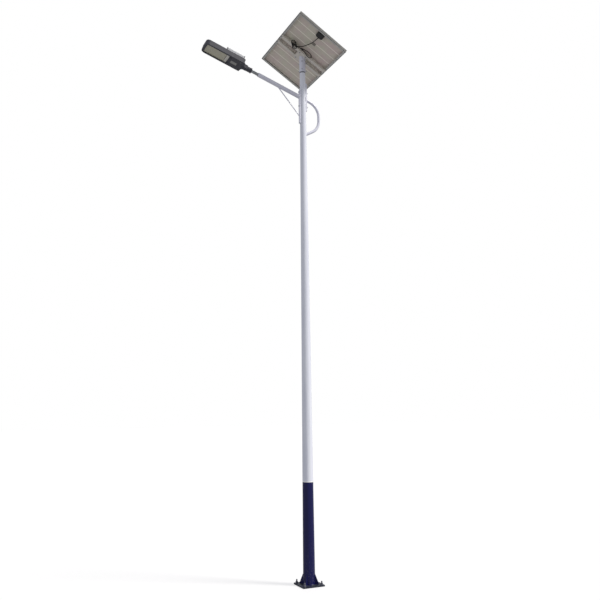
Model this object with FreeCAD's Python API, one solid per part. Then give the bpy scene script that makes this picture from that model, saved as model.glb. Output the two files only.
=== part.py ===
import FreeCAD, Part
import math
import os

# Solar street lamp, millimetres, +Z up.
# Origin: centre of the base plate's underside. The lamp arm points along -X,
# the panel's low edge looks along +X, and its short edges face -Y and +Y.

# --- driving dimensions ------------------------------------------------------
plate_side = 250.0
plate_thick = 16.0
plate_bore = 80.0
anchor_spacing = 200.0
anchor_dia = 16.0
anchor_hole_gap = 2.0
anchor_free_end = 22.0
anchor_thread_dia = 15.6
anchor_point = 1.5
gusset_height = 100.0
gusset_foot = 42.0
gusset_thick = 8.0
gusset_toe = 10.0
washer_thick = 3.0

# hexagon fasteners, as shares of their thread's diameter
nut_share = 0.8
head_share = 0.65
flats_share = 1.6

pole_height = 6000.0
pole_base_dia = 130.0
pole_top_dia = 65.0
pole_wall = 3.0

arm_below_top = 481.0
arm_rise_deg = 18.3
arm_dia = 48.0
arm_wall = 2.5
arm_length = 605.0
spigot_dia = 34.0
spigot_wall = 3.0
spigot_bare = 87.0
spigot_in_neck = 88.0
spigot_in_arm = 50.0

post_width = 30.0
post_stand_off = 14.0
post_sheet = 3.0
front_post_low = 314.0
front_post_high = 97.0
back_post_low = 151.0
back_post_high = 190.0
post_bolt_dia = 10.0
post_bolt_drops = (-100.0, 75.0)
wire_hole = 20.0

tail_dia = 34.0
tail_wall = 2.5
tail_reach = 207.0
tail_bend = 178.0
tail_straight = 54.0
tail_return_bend = 165.0
tail_return_deg = 150.0
stay_dia = 12.0
stay_top_reach = 343.0
stay_foot_drop = 227.0

sleeve_gap = 1.5
sleeve_wall = 3.0
sleeve_rim_below_top = 147.0
head_above_top = 32.0
set_bolt_dia = 8.0
set_bolt_drops = (-122.0, -25.0)
set_bolt_angles = (0.0, 120.0, 240.0)

panel_tilt_deg = 31.1
panel_length = 1135.0
panel_width = 675.0
panel_thick = 30.0
frame_wall = 1.8
frame_flange = 25.0
frame_lip = 8.0
frame_lip_thick = 1.5
chamber_width = 10.0
chamber_depth = 13.3
key_leg = 42.0
glass_thick = 3.2
cell_thick = 0.4
backsheet_thick = 0.6
cell_margin_side = 21.0
cell_margin_end = 29.0
cell_columns = 9
cell_rows = 4
cell_gap = 3.0
frame_slot_width = 9.0
frame_slot_length = 14.0
frame_hole_offset = 370.0

rail_offset = 60.0
rail_width = 40.0
rail_height = 21.0
rail_sheet = 2.5
rail_end_gap = 4.0
head_plate_length = 140.0
head_plate_overhang = 4.0
head_plate_thick = 6.0
head_bolt_offset = 45.0
bracket_bolt_dia = 8.0
bolt_hole_gap = 1.0
thread_past_nut = 1.0

box_from_edge = 82.5
panel_label_from_edge = 287.5
panel_label_side = 50.0
label_thick = 0.3
box_length = 90.0
box_width = 85.0
box_height = 24.0
box_wall = 2.5
box_corner = 14.0
lid_thick = 3.0
gland_length = 16.0
cable_dia = 9.0
coil_radius = 29.0

lamp_length = 605.0
lamp_width = 205.0
lamp_under = 20.0
lamp_top = 40.0
lamp_wall = 4.0
lamp_side_wall = 7.0
neck_dia = 58.0
neck_collar_dia = 62.0
neck_collar = 12.0
neck_length = 112.0
shoulder_x = 122.0
tip_corner = 45.0
rim_round = 3.0
window_near_x = 298.0
window_length = 279.0
window_width = 168.0
window_recess = 10.0
lens_thick = 4.0
gasket_thick = 2.0
window_ledge = 5.0
led_board_thick = 1.6
led_side = 3.5
led_columns = 12
led_rows = 5
running_gap = 0.05
door_gap = 0.4
body_gap = 0.3

door_near_x = 145.0
door_length = 138.0
door_width = 180.0
door_thick = 3.0
door_ledge = 6.0
hinge_beyond_door = 4.0
hinge_drop = 3.8
knuckle_radius = 3.5
hinge_pin_dia = 3.0
hinge_offsets = (-60.0, 60.0)
knuckle_length = 20.0

controller_length = 100.0
controller_width = 60.0
controller_height = 24.0

battery_near_x = 140.0
battery_length = 220.0
battery_width = 180.0
battery_height = 35.0
battery_sheet = 2.5
battery_cap_thick = 6.0
battery_cap_proud = 1.5
cell_dia = 26.0
cell_can_length = 65.0
cell_can_columns = 7

# --- sizes that follow from them ---------------------------------------------
arm_cross_z = pole_height - arm_below_top
sleeve_bore = pole_top_dia + 2 * sleeve_gap
sleeve_rim_z = pole_height - sleeve_rim_below_top
head_axis_z = pole_height + head_above_top
set_bolt_levels = [pole_height + drop for drop in set_bolt_drops]
head_plate_width = 2 * (rail_offset + rail_width / 2 + head_plate_overhang)
cell_length = (panel_width - 2 * cell_margin_side - (cell_rows - 1) * cell_gap) / cell_rows
cell_width = (panel_length - 2 * cell_margin_end - (cell_columns - 1) * cell_gap) / cell_columns
box_centre_y = -panel_length / 2 + box_from_edge
door_far_x = door_near_x + door_length
hinge_x = door_far_x + hinge_beyond_door

V = FreeCAD.Vector
up = V(0, 0, 1)
tilt = math.radians(panel_tilt_deg)
rise = math.radians(arm_rise_deg)


# --- small helpers -----------------------------------------------------------
def save(name, *solids):
    shape = solids[0] if len(solids) == 1 else Part.makeCompound(list(solids))
    shape.exportStep("parts/" + name + ".step")


def rod(diameter, start, direction, length):
    return Part.makeCylinder(diameter / 2, length, start, direction)


def tube(outer, inner, start, direction, length):
    return rod(outer, start, direction, length).cut(rod(inner, start, direction, length))


def block(x, y, z):
    """A box from (low, high) pairs."""
    return Part.makeBox(x[1] - x[0], y[1] - y[0], z[1] - z[0], V(x[0], y[0], z[0]))


def hexagon(flats, height, start, direction):
    corners = [V(flats / math.sqrt(3) * math.cos(math.radians(60 * i)),
                 flats / math.sqrt(3) * math.sin(math.radians(60 * i)), 0) for i in range(7)]
    prism = Part.Face(Part.makePolygon(corners)).extrude(V(0, 0, height))
    prism.Placement = FreeCAD.Placement(start, FreeCAD.Rotation(up, direction))
    return prism


def nut(thread, start, direction):
    """A hexagon nut whose bore is the thread's diameter."""
    height = nut_share * thread
    return hexagon(flats_share * thread, height, start, direction).cut(rod(thread, start, direction, height))


def hex_bolt(thread, length, start, direction):
    """A bolt whose head sits before start and whose shank runs along direction."""
    head_height = head_share * thread
    head = hexagon(flats_share * thread, head_height, start - direction * head_height, direction)
    return head.fuse(rod(thread, start, direction, length)).removeSplitter()


def place(shape, frame):
    moved = shape.copy()
    moved.Placement = frame.multiply(moved.Placement)
    return moved


def pole_radius(z):
    share = (z - plate_thick) / (pole_height - plate_thick)
    return (pole_base_dia + (pole_top_dia - pole_base_dia) * share) / 2


def pole_solid(skin=0.0):
    """The pole's outside, less a skin, as a solid cone from the base plate to the pole's top."""
    return Part.makeCone(pole_base_dia / 2 - skin, pole_top_dia / 2 - skin,
                         pole_height - plate_thick, V(0, 0, plate_thick), up)


def square_places(spacing):
    half = spacing / 2
    return [V(x, y, 0) for x in (-half, half) for y in (-half, half)]


# --- local frames ------------------------------------------------------------
# Arm: x along the arm from the pole's axis, z square to it and upwards.
big = 2000.0
arm_along = V(-math.cos(rise), 0, math.sin(rise))
arm_up = V(math.sin(rise), 0, math.cos(rise))
arm_frame = FreeCAD.Placement(V(0, 0, arm_cross_z), FreeCAD.Rotation(arm_along, V(0, -1, 0), arm_up, "ZXY"))
neck_start = arm_length + spigot_bare
lamp_frame = arm_frame.multiply(FreeCAD.Placement(V(neck_start, 0, 0), FreeCAD.Rotation()))

# Panel: x down the slope, y level, z out of the glass; its origin is the panel's middle.
slope = V(math.cos(tilt), 0, -math.sin(tilt))
panel_up = V(math.sin(tilt), 0, math.cos(tilt))
rail_top = -panel_thick / 2
rail_low = rail_top - rail_height
head_low = rail_low - head_plate_thick
panel_centre = V(0, 0, head_axis_z - head_low / math.cos(tilt))
panel_frame = FreeCAD.Placement(panel_centre, FreeCAD.Rotation(slope, V(0, 1, 0), panel_up, "ZXY"))


# --- foundation end ----------------------------------------------------------
def make_base():
    half = plate_side / 2
    plate = block((-half, half), (-half, half), (0, plate_thick))
    plate = plate.cut(rod(plate_bore, V(0, 0, 0), up, plate_thick))
    nut_top = plate_thick + washer_thick + nut_share * anchor_dia
    studs, nuts, washers = [], [], []
    for spot in square_places(anchor_spacing):
        plate = plate.cut(rod(anchor_dia + anchor_hole_gap, spot, up, plate_thick))
        shank = rod(anchor_dia, spot, up, nut_top)
        thread = rod(anchor_thread_dia, spot + V(0, 0, nut_top), up, anchor_free_end - anchor_point)
        point = Part.makeCone(anchor_thread_dia / 2, anchor_thread_dia / 2 - anchor_point, anchor_point,
                              spot + V(0, 0, nut_top + anchor_free_end - anchor_point), up)
        studs.append(shank.multiFuse([thread, point]))
        washers.append(tube(2 * anchor_dia, anchor_dia, spot + V(0, 0, plate_thick), up, washer_thick))
        nuts.append(nut(anchor_dia, spot + V(0, 0, plate_thick + washer_thick), up))
    save("base_plate", plate)
    save("anchor_bolts", *studs)
    save("anchor_washers", *washers)
    save("anchor_nuts", *nuts)


def make_gussets():
    foot = pole_base_dia / 2 + gusset_foot
    top = plate_thick + gusset_height
    outline = [V(0, 0, plate_thick), V(foot, 0, plate_thick), V(foot, 0, plate_thick + gusset_toe),
               V(pole_radius(top) + gusset_toe / 2, 0, top), V(0, 0, top), V(0, 0, plate_thick)]
    rib = Part.Face(Part.makePolygon(outline)).extrude(V(0, gusset_thick, 0))
    rib.translate(V(0, -gusset_thick / 2, 0))
    rib = rib.cut(pole_solid())
    save("base_gussets", *[rib.rotated(V(0, 0, 0), up, angle) for angle in (45, 135, 225, 315)])


# --- pole, arm brackets, arm and tail ----------------------------------------
post_face = pole_radius(arm_cross_z) + post_stand_off
post_levels = [arm_cross_z + drop for drop in post_bolt_drops]


def wire_way():
    return place(rod(wire_hole, V(0, 0, 0), V(1, 0, 0), arm_length), arm_frame)


def make_pole():
    shaft = pole_solid().cut(pole_solid(pole_wall))
    for z in post_levels:
        shaft = shaft.cut(rod(post_bolt_dia + bolt_hole_gap, V(-big / 2, 0, z), V(1, 0, 0), big))
    save("pole_shaft", shaft.cut(wire_way()))


def post(side, low, high):
    """A U channel that lies along the pole, its flanges coped to the pole."""
    outer_x = sorted((0.0, side * post_face))
    inner_x = sorted((0.0, side * (post_face - post_sheet)))
    half = post_width / 2
    inner = half - post_sheet
    body = block(outer_x, (-half, half), (low, high)).cut(block(inner_x, (-inner, inner), (low, high)))
    body = body.cut(pole_solid())
    for z in post_levels:
        body = body.cut(rod(post_bolt_dia + bolt_hole_gap, V(side * post_face, 0, z), V(-side, 0, 0),
                            post_stand_off + post_sheet))
    return body


def make_brackets():
    front = post(-1, arm_cross_z - front_post_low, arm_cross_z + front_post_high)
    save("arm_post_front", front.cut(wire_way()))
    save("arm_post_back", post(1, arm_cross_z - back_post_low, arm_cross_z + back_post_high))
    thread_left = 6.0
    length = 2 * post_face + nut_share * post_bolt_dia + thread_left
    save("post_bolts", *[hex_bolt(post_bolt_dia, length, V(-post_face, 0, z), V(1, 0, 0)) for z in post_levels])
    save("post_nuts", *[nut(post_bolt_dia, V(post_face, 0, z), V(1, 0, 0)) for z in post_levels])


def make_arm():
    beyond_post = block((-post_face, big), (-big, big), (0, 4 * big))
    outside = place(rod(arm_dia, V(0, 0, 0), V(1, 0, 0), arm_length), arm_frame)
    arm = place(tube(arm_dia, arm_dia - 2 * arm_wall, V(0, 0, 0), V(1, 0, 0), arm_length), arm_frame)
    save("lamp_arm", arm.cut(beyond_post))
    inner = V(arm_length - spigot_in_arm, 0, 0)
    bore = spigot_dia - 2 * spigot_wall
    spigot = tube(spigot_dia, bore, inner, V(1, 0, 0), spigot_in_arm + spigot_bare + spigot_in_neck)
    collar = tube(arm_dia - 2 * arm_wall, bore, inner, V(1, 0, 0), spigot_in_arm)
    save("arm_spigot", place(spigot.fuse(collar).removeSplitter(), arm_frame))
    top = V(-stay_top_reach, 0, arm_cross_z + stay_top_reach * math.tan(rise))
    run = V(-post_face + post_sheet, 0, arm_cross_z - stay_foot_drop) - top
    stay = rod(stay_dia, top, run, run.Length)
    save("stay_rod", stay.cut(outside).cut(beyond_post))


def bend_point(angle, centre, radius):
    """The point of a clockwise bend where the travel has this angle above +X."""
    return centre + V(-math.sin(angle), 0, math.cos(angle)) * radius


def tail_path():
    """The tail's centre line: straight on from the arm, round below and back to the pole."""
    leave = -rise
    down = -math.pi / 2
    back = -math.radians(tail_return_deg)
    start = V(0, 0, arm_cross_z)
    first = V(tail_reach - tail_bend, 0, 0)
    bend_start = bend_point(leave, first, tail_bend)
    first.z = arm_cross_z - bend_start.x * math.tan(rise) - bend_start.z
    second = V(tail_reach - tail_return_bend, 0, first.z - tail_straight)
    edges = []
    here = start
    for centre, radius, a, b in ((first, tail_bend, leave, down), (second, tail_return_bend, down, back)):
        edges.append(Part.LineSegment(here, bend_point(a, centre, radius)).toShape())
        edges.append(Part.Arc(bend_point(a, centre, radius), bend_point((a + b) / 2, centre, radius),
                              bend_point(b, centre, radius)).toShape())
        here = bend_point(b, centre, radius)
    travel = V(math.cos(back), 0, math.sin(back))
    edges.append(Part.LineSegment(here, here + travel * (here.x / -travel.x)).toShape())
    return Part.Wire(edges), start, arm_along * -1


def sweep(path, start, direction, diameter):
    ring = Part.Wire([Part.makeCircle(diameter / 2, start, direction)])
    return path.makePipeShell([ring], True, False)


def make_tail():
    path, start, direction = tail_path()
    bore = tail_dia - 2 * tail_wall
    hollow = sweep(path, start, direction, tail_dia).cut(sweep(path, start, direction, bore))
    in_post = block((-big, post_face), (-big, big), (arm_cross_z - back_post_low, 2 * arm_cross_z))
    save("tail_tube", max(hollow.cut(in_post).cut(pole_solid()).Solids, key=lambda solid: solid.Volume))


# --- panel head --------------------------------------------------------------
cable_hole_at = V(6, 4, 0)


def make_sleeve():
    outer = sleeve_bore + 2 * sleeve_wall
    long = 400.0
    above_head = place(block((-long, long), (-long, long), (head_low, long)), panel_frame)
    sleeve = tube(outer, sleeve_bore, V(0, 0, sleeve_rim_z), up, long)
    outside = rod(outer, V(0, 0, sleeve_rim_z - 50), up, long)
    nuts, bolts = [], []
    seat = outer / 2 + nut_share * set_bolt_dia
    head_gap = 3.0
    for z in set_bolt_levels:
        for angle in set_bolt_angles:
            centre = V(0, 0, z)
            out = V(math.cos(math.radians(angle)), math.sin(math.radians(angle)), 0)
            thread = rod(set_bolt_dia, centre, out, outer)
            sleeve = sleeve.cut(thread)
            inside = 0.4 * outer
            nuts.append(hexagon(flats_share * set_bolt_dia, seat - inside, centre + out * inside, out)
                        .cut(outside).cut(thread))
            tip = pole_radius(z) + body_gap
            bolts.append(hex_bolt(set_bolt_dia, seat + head_gap - tip, centre + out * (seat + head_gap), out * -1))
    save("sleeve_tube", sleeve.cut(above_head))
    save("sleeve_nuts", *nuts)
    save("sleeve_set_bolts", *bolts)


def make_head_plate():
    half_x = head_plate_length / 2
    half_y = head_plate_width / 2
    plate = block((-half_x, half_x), (-half_y, half_y), (head_low, rail_low))
    for x in (-head_bolt_offset, head_bolt_offset):
        for y in (-rail_offset, rail_offset):
            plate = plate.cut(rod(bracket_bolt_dia + bolt_hole_gap, V(x, y, head_low), up, head_plate_thick))
    plate = plate.cut(rod(2.5 * cable_dia, cable_hole_at + V(0, 0, head_low), up, head_plate_thick))
    save("head_plate", place(plate, panel_frame))


def make_rails():
    long_bolts, short_bolts, nuts = [], [], []
    rail_half = panel_width / 2 - rail_end_gap
    flange_middle = panel_width / 2 - frame_flange / 2
    nut_and_thread = nut_share * bracket_bolt_dia + thread_past_nut
    half = rail_width / 2
    for name, y in (("rail_near", -rail_offset), ("rail_far", rail_offset)):
        rail = block((-rail_half, rail_half), (y - half, y + half), (rail_low, rail_top))
        rail = rail.cut(block((-rail_half, rail_half), (y - half + rail_sheet, y + half - rail_sheet),
                              (rail_low + rail_sheet, rail_top)))
        for x in (-flange_middle, flange_middle):
            rail = rail.cut(rod(bracket_bolt_dia + bolt_hole_gap, V(x, y, rail_low), up, rail_sheet))
            length = rail_height + frame_wall + nut_and_thread
            long_bolts.append(place(hex_bolt(bracket_bolt_dia, length, V(x, y, rail_low), up), panel_frame))
            nuts.append(place(nut(bracket_bolt_dia, V(x, y, rail_top + frame_wall), up), panel_frame))
        for x in (-head_bolt_offset, head_bolt_offset):
            rail = rail.cut(rod(bracket_bolt_dia + bolt_hole_gap, V(x, y, rail_low), up, rail_sheet))
            length = head_plate_thick + rail_sheet + nut_and_thread
            short_bolts.append(place(hex_bolt(bracket_bolt_dia, length, V(x, y, head_low), up), panel_frame))
            nuts.append(place(nut(bracket_bolt_dia, V(x, y, rail_low + rail_sheet), up), panel_frame))
        save(name, place(rail, panel_frame))
    save("frame_bolts", *long_bolts)
    save("head_bolts", *short_bolts)
    save("bracket_nuts", *nuts)


# --- solar panel -------------------------------------------------------------
laminate_top = panel_thick / 2 - frame_lip_thick
laminate_low = laminate_top - glass_thick - cell_thick - backsheet_thick
ledge_thick = 1.5
key_low = laminate_low - chamber_depth
key_high = laminate_low - ledge_thick


def frame_section():
    """The extrusion's section: x inwards from the outer face, z up."""
    low = -panel_thick / 2
    high = panel_thick / 2
    web_low = key_low - ledge_thick
    key_side = chamber_width - ledge_thick
    outline = [(0, low), (frame_flange, low), (frame_flange, low + frame_wall), (frame_wall, low + frame_wall),
               (frame_wall, web_low), (chamber_width, web_low), (chamber_width, laminate_low),
               (frame_wall, laminate_low), (frame_wall, laminate_top), (frame_lip, laminate_top),
               (frame_lip, high), (0, high), (0, low)]
    chamber = [(frame_wall, key_low), (key_side, key_low), (key_side, key_high), (frame_wall, key_high),
               (frame_wall, key_low)]
    outer = Part.Face(Part.makePolygon([V(0, x, z) for x, z in outline]))
    return outer.cut(Part.Face(Part.makePolygon([V(0, x, z) for x, z in chamber])))


def frame_member(length):
    """One mitred side of the frame, along X, with its outer face on y = 0."""
    half = length / 2
    bar = frame_section().extrude(V(length, 0, 0))
    bar.translate(V(-half, 0, 0))
    depth = frame_flange + 1.0
    wedge = Part.Face(Part.makePolygon([V(-half, 0, -panel_thick), V(half, 0, -panel_thick),
                                        V(half - depth, depth, -panel_thick),
                                        V(-half + depth, depth, -panel_thick), V(-half, 0, -panel_thick)]))
    return bar.common(wedge.extrude(V(0, 0, 2 * panel_thick)))


def make_frame():
    sides = (("frame_near", 0, V(0, -panel_length / 2, 0), panel_width),
             ("frame_far", 180, V(0, panel_length / 2, 0), panel_width),
             ("frame_high", -90, V(-panel_width / 2, 0, 0), panel_length),
             ("frame_low", 90, V(panel_width / 2, 0, 0), panel_length))
    for name, turn, middle, length in sides:
        bar = frame_member(length)
        if name in ("frame_high", "frame_low"):
            shift = (frame_slot_length - frame_slot_width) / 2
            across, low = frame_flange / 2, -panel_thick / 2
            for x in (-frame_hole_offset, frame_hole_offset):
                for end in (x - shift, x + shift):
                    bar = bar.cut(rod(frame_slot_width, V(end, across, low), up, frame_wall))
                bar = bar.cut(block((x - shift, x + shift),
                                    (across - frame_slot_width / 2, across + frame_slot_width / 2),
                                    (low, low + frame_wall)))
            for x in (-rail_offset, rail_offset):
                bar = bar.cut(rod(bracket_bolt_dia + bolt_hole_gap, V(x, across, low), up, frame_wall))
        spot = FreeCAD.Placement(middle, FreeCAD.Rotation(up, turn))
        save(name, place(place(bar, spot), panel_frame))


def make_corner_keys():
    levels = (key_low, key_high)
    keys = []
    for sx in (-1, 1):
        for sy in (-1, 1):
            x_outer, y_outer = panel_width / 2 - frame_wall, panel_length / 2 - frame_wall
            x_inner, y_inner = panel_width / 2 - chamber_width, panel_length / 2 - chamber_width
            x_thin = sorted((sx * x_outer, sx * (x_inner + ledge_thick)))
            y_thin = sorted((sy * y_outer, sy * (y_inner + ledge_thick)))
            x_long = sorted((sx * x_outer, sx * (x_outer - key_leg)))
            y_long = sorted((sy * y_outer, sy * (y_outer - key_leg)))
            key = block(x_long, y_thin, levels).fuse(block(x_thin, y_long, levels))
            keys.append(place(key.removeSplitter(), panel_frame))
    save("corner_keys", *keys)


def make_laminate():
    pocket_gap = 0.5
    half_x = panel_width / 2 - frame_wall - pocket_gap
    half_y = panel_length / 2 - frame_wall - pocket_gap
    cell_low = laminate_low + backsheet_thick
    glass_low = cell_low + cell_thick
    save("backsheet", place(block((-half_x, half_x), (-half_y, half_y), (laminate_low, cell_low)), panel_frame))
    save("panel_glass", place(block((-half_x, half_x), (-half_y, half_y), (glass_low, laminate_top)), panel_frame))
    cells = []
    for column in range(cell_columns):
        for row in range(cell_rows):
            x = (row - (cell_rows - 1) / 2) * (cell_length + cell_gap) - cell_length / 2
            y = (column - (cell_columns - 1) / 2) * (cell_width + cell_gap) - cell_width / 2
            tile = block((x, x + cell_length), (y, y + cell_width), (cell_low, glass_low))
            cells.append(place(tile, panel_frame))
    save("solar_cells", *cells)
    label_x, label_y = 13.0, panel_label_from_edge - panel_length / 2
    half = panel_label_side / 2
    label = block((label_x - half, label_x + half), (label_y - half, label_y + half),
                  (laminate_low - label_thick, laminate_low))
    save("panel_label", place(label, panel_frame))


def chamfered_box(half_x, half_y, corner, low, high, centre):
    """A box with its four upright corners cut off."""
    quarter = [(half_x, half_y - corner), (half_x - corner, half_y)]
    points = quarter + [(-x, y) for x, y in reversed(quarter)]
    points += [(-x, -y) for x, y in quarter] + [(x, -y) for x, y in reversed(quarter)]
    face = Part.Face(Part.makePolygon([V(x, y, low) + centre for x, y in points + points[:1]]))
    return face.extrude(V(0, 0, high - low))


gland_y = box_centre_y + box_width / 2
cable_out_z = laminate_low - box_height / 2


def make_junction_box():
    centre = V(0, box_centre_y, 0)
    low = laminate_low - box_height
    floor = laminate_low - box_wall
    half_x, half_y = box_length / 2, box_width / 2
    out = V(0, 1, 0)
    mouth = V(0, gland_y, cable_out_z)
    case = chamfered_box(half_x, half_y, box_corner, low + lid_thick, laminate_low, centre)
    case = case.cut(chamfered_box(half_x - box_wall, half_y - box_wall, box_corner, low + lid_thick, floor, centre))
    case = case.cut(rod(cable_dia, mouth - out * box_wall, out, box_wall))
    save("junction_box", place(case, panel_frame))
    lid = chamfered_box(half_x, half_y, box_corner, low, low + lid_thick, centre)
    save("junction_lid", place(lid, panel_frame))
    diode_x, diode_y, diode_high = 5.0, (box_centre_y - 20.0, box_centre_y + 4.0), 7.0
    diodes = [block((x - diode_x, x + diode_x), diode_y, (floor - diode_high, floor)) for x in (-18.0, 18.0)]
    save("bypass_diodes", *[place(diode, panel_frame) for diode in diodes])
    nut_dia, dome_dia = 2.2 * cable_dia, 1.8 * cable_dia
    gland = rod(nut_dia, mouth, out, gland_length / 2).fuse(rod(dome_dia, mouth, out, gland_length))
    gland = gland.removeSplitter().cut(rod(cable_dia, mouth, out, gland_length))
    save("cable_gland", place(gland, panel_frame))


# --- panel cable -------------------------------------------------------------
# Points of the route in the panel's own axes: down the slope, level, out of the glass.
feed_route = [(0, -426.5, -2.7), (-1, -394, -6), (-7, -350, -15), (-19, -296, -22), (-36, -241, -26),
              (-56, -186, -27), (-78, -138, -27), (-106, -106, -30), (-142, -92, -34), (-179, -90, -35)]
lead_route = [(-129, -132, -61), (-98, -134, -57), (-66, -150, -54), (-30, -172, -54), (6, -190, -58),
              (42, -200, -65), (74, -194, -72), (89, -163, -75), (73, -133, -71), (41, -124, -62),
              (6, -129, -54), (-27, -129, -43), (-49, -113, -26), (-50, -91, -12), (-36, -69, -4),
              (-18, -49, -2), (-3, -29, -7), (5, -11, -17), (7, 1, -29), (6, 4, -42)]
tie_at = -150.0
coil_first = V(-179, -118, -27)
coil_step = V(14.4, 4.4, -12)
coil_turns = 3.5
coil_tilt_deg = 15.0


def cord_wire(points):
    """Straight runs joined by tangent arcs, each as large as its two runs allow."""
    edges, radii = [], []
    here = points[0]
    for before, corner, after in zip(points, points[1:], points[2:]):
        back, ahead = before - corner, after - corner
        half_turn = (math.pi - back.getAngle(ahead)) / 2
        reach = 0.45 * min(back.Length, ahead.Length)
        radii.append(reach / math.tan(half_turn))
        start = corner + back.normalize() * reach
        end = corner + ahead.normalize() * reach
        middle = corner + (back + ahead).normalize() * radii[-1] * (1 / math.cos(half_turn) - 1)
        edges.append(Part.LineSegment(here, start).toShape())
        edges.append(Part.Arc(start, middle, end).toShape())
        here = end
    edges.append(Part.LineSegment(here, points[-1]).toShape())
    return Part.Wire(edges), radii


def cord(name, route):
    points = [V(*point) for point in route]
    path, radii = cord_wire(points)
    solid = sweep(path, points[0], points[1] - points[0], cable_dia)
    expected = math.pi * cable_dia ** 2 / 4 * path.Length
    print(name, "length", round(path.Length), "volume share", round(solid.Volume / expected, 4),
          "radii", [round(radius) for radius in radii])
    save(name, place(solid, panel_frame))


def make_coil():
    """The outer shape of the loose coil: one thick disc per turn, fanned like the turns."""
    lean = math.radians(coil_tilt_deg)
    axis = V(0, math.sin(lean), math.cos(lean))
    radius = coil_radius + cable_dia / 2
    thick = coil_step.dot(axis) * -1 + cable_dia
    discs = []
    for turn in (0.5, 1.75, 3.0):
        centre = coil_first + coil_step * turn
        discs.append(rod(2 * radius, centre - axis * thick / 2, axis, thick))
    save("cable_coil", place(discs[0].multiFuse(discs[1:]).removeSplitter(), panel_frame))


def make_cable_fixings():
    band = 1.2
    half = rail_width / 2
    strand = half + cable_dia + 2.0
    inner = block((tie_at - 2.5, tie_at + 2.5), (-rail_offset - strand, -rail_offset + half), (rail_low, rail_top))
    outer = block((tie_at - 2.5, tie_at + 2.5), (-rail_offset - strand - band, -rail_offset + half + band),
                  (rail_low - band, rail_top + band))
    lock = block((tie_at - 3.5, tie_at + 3.5), (-rail_offset - 6, -rail_offset + 1), (rail_low - 5.5, rail_low - band))
    save("cable_tie", place(outer.fuse(lock).removeSplitter().cut(inner), panel_frame))
    hole = 2.5 * cable_dia
    grommet = rod(hole, cable_hole_at + V(0, 0, head_low), up, head_plate_thick)
    flange = rod(hole + 5.0, cable_hole_at + V(0, 0, rail_low), up, 2.0)
    grommet = grommet.fuse(flange).removeSplitter()
    grommet = grommet.cut(rod(cable_dia, cable_hole_at + V(0, 0, head_low), up, head_plate_thick + 2.0))
    save("cable_grommet", place(grommet, panel_frame))


# --- lamp head ---------------------------------------------------------------
# x runs from the neck's mouth to the tip, z is square to the arm and upwards.
window_far_x = window_near_x + window_length
under = -lamp_under
lens_low = under + window_recess
lens_top = lens_low + lens_thick
ledge_top = lens_top + gasket_thick + 6.0
roof = lamp_top - lamp_wall
hinge_z = under - hinge_drop


def make_body_shell():
    half = lamp_width / 2
    neck_half = neck_dia / 2
    flare_x = shoulder_x - 10.0
    flare_start = 60.0
    points = [(flare_start, neck_half), (flare_x, neck_half), (shoulder_x, half), (lamp_length, half)]
    points += [(x, -y) for x, y in reversed(points)]
    outline = [V(x, y, under) for x, y in points + points[:1]]
    body = Part.Face(Part.makePolygon(outline)).extrude(V(0, 0, lamp_top - under))

    def upright(edge, x, y):
        a, b = [vertex.Point for vertex in edge.Vertexes]
        return abs(a.y - b.y) < 1 and all(abs(end.x - x) < 1 and abs(abs(end.y) - y) < 1 for end in (a, b))

    for x, y, radius in ((flare_x, neck_half, 30.0), (shoulder_x, half, 14.0), (lamp_length, half, tip_corner)):
        body = body.makeFillet(radius, [edge for edge in body.Edges if upright(edge, x, y)])
    slope_start, slope_end = 92.0, 150.0
    wedge = [V(0, -half, neck_half - 4), V(slope_start, -half, neck_half - 4), V(slope_end, -half, lamp_top),
             V(slope_end, -half, 2 * lamp_top), V(0, -half, 2 * lamp_top), V(0, -half, neck_half - 4)]
    body = body.cut(Part.Face(Part.makePolygon(wedge)).extrude(V(0, lamp_width, 0)))

    def on_rim(edge):
        ends = [vertex.Point for vertex in edge.Vertexes]
        level = all(abs(end.z - under) < 0.1 for end in ends) or all(abs(end.z - lamp_top) < 0.1 for end in ends)
        return level and all(end.x > slope_end - 1 for end in ends) and any(
            abs(abs(end.y) - half) < 0.1 or end.x > lamp_length - 0.1 for end in ends)

    return body.makeFillet(rim_round, [edge for edge in body.Edges if on_rim(edge)])


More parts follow.
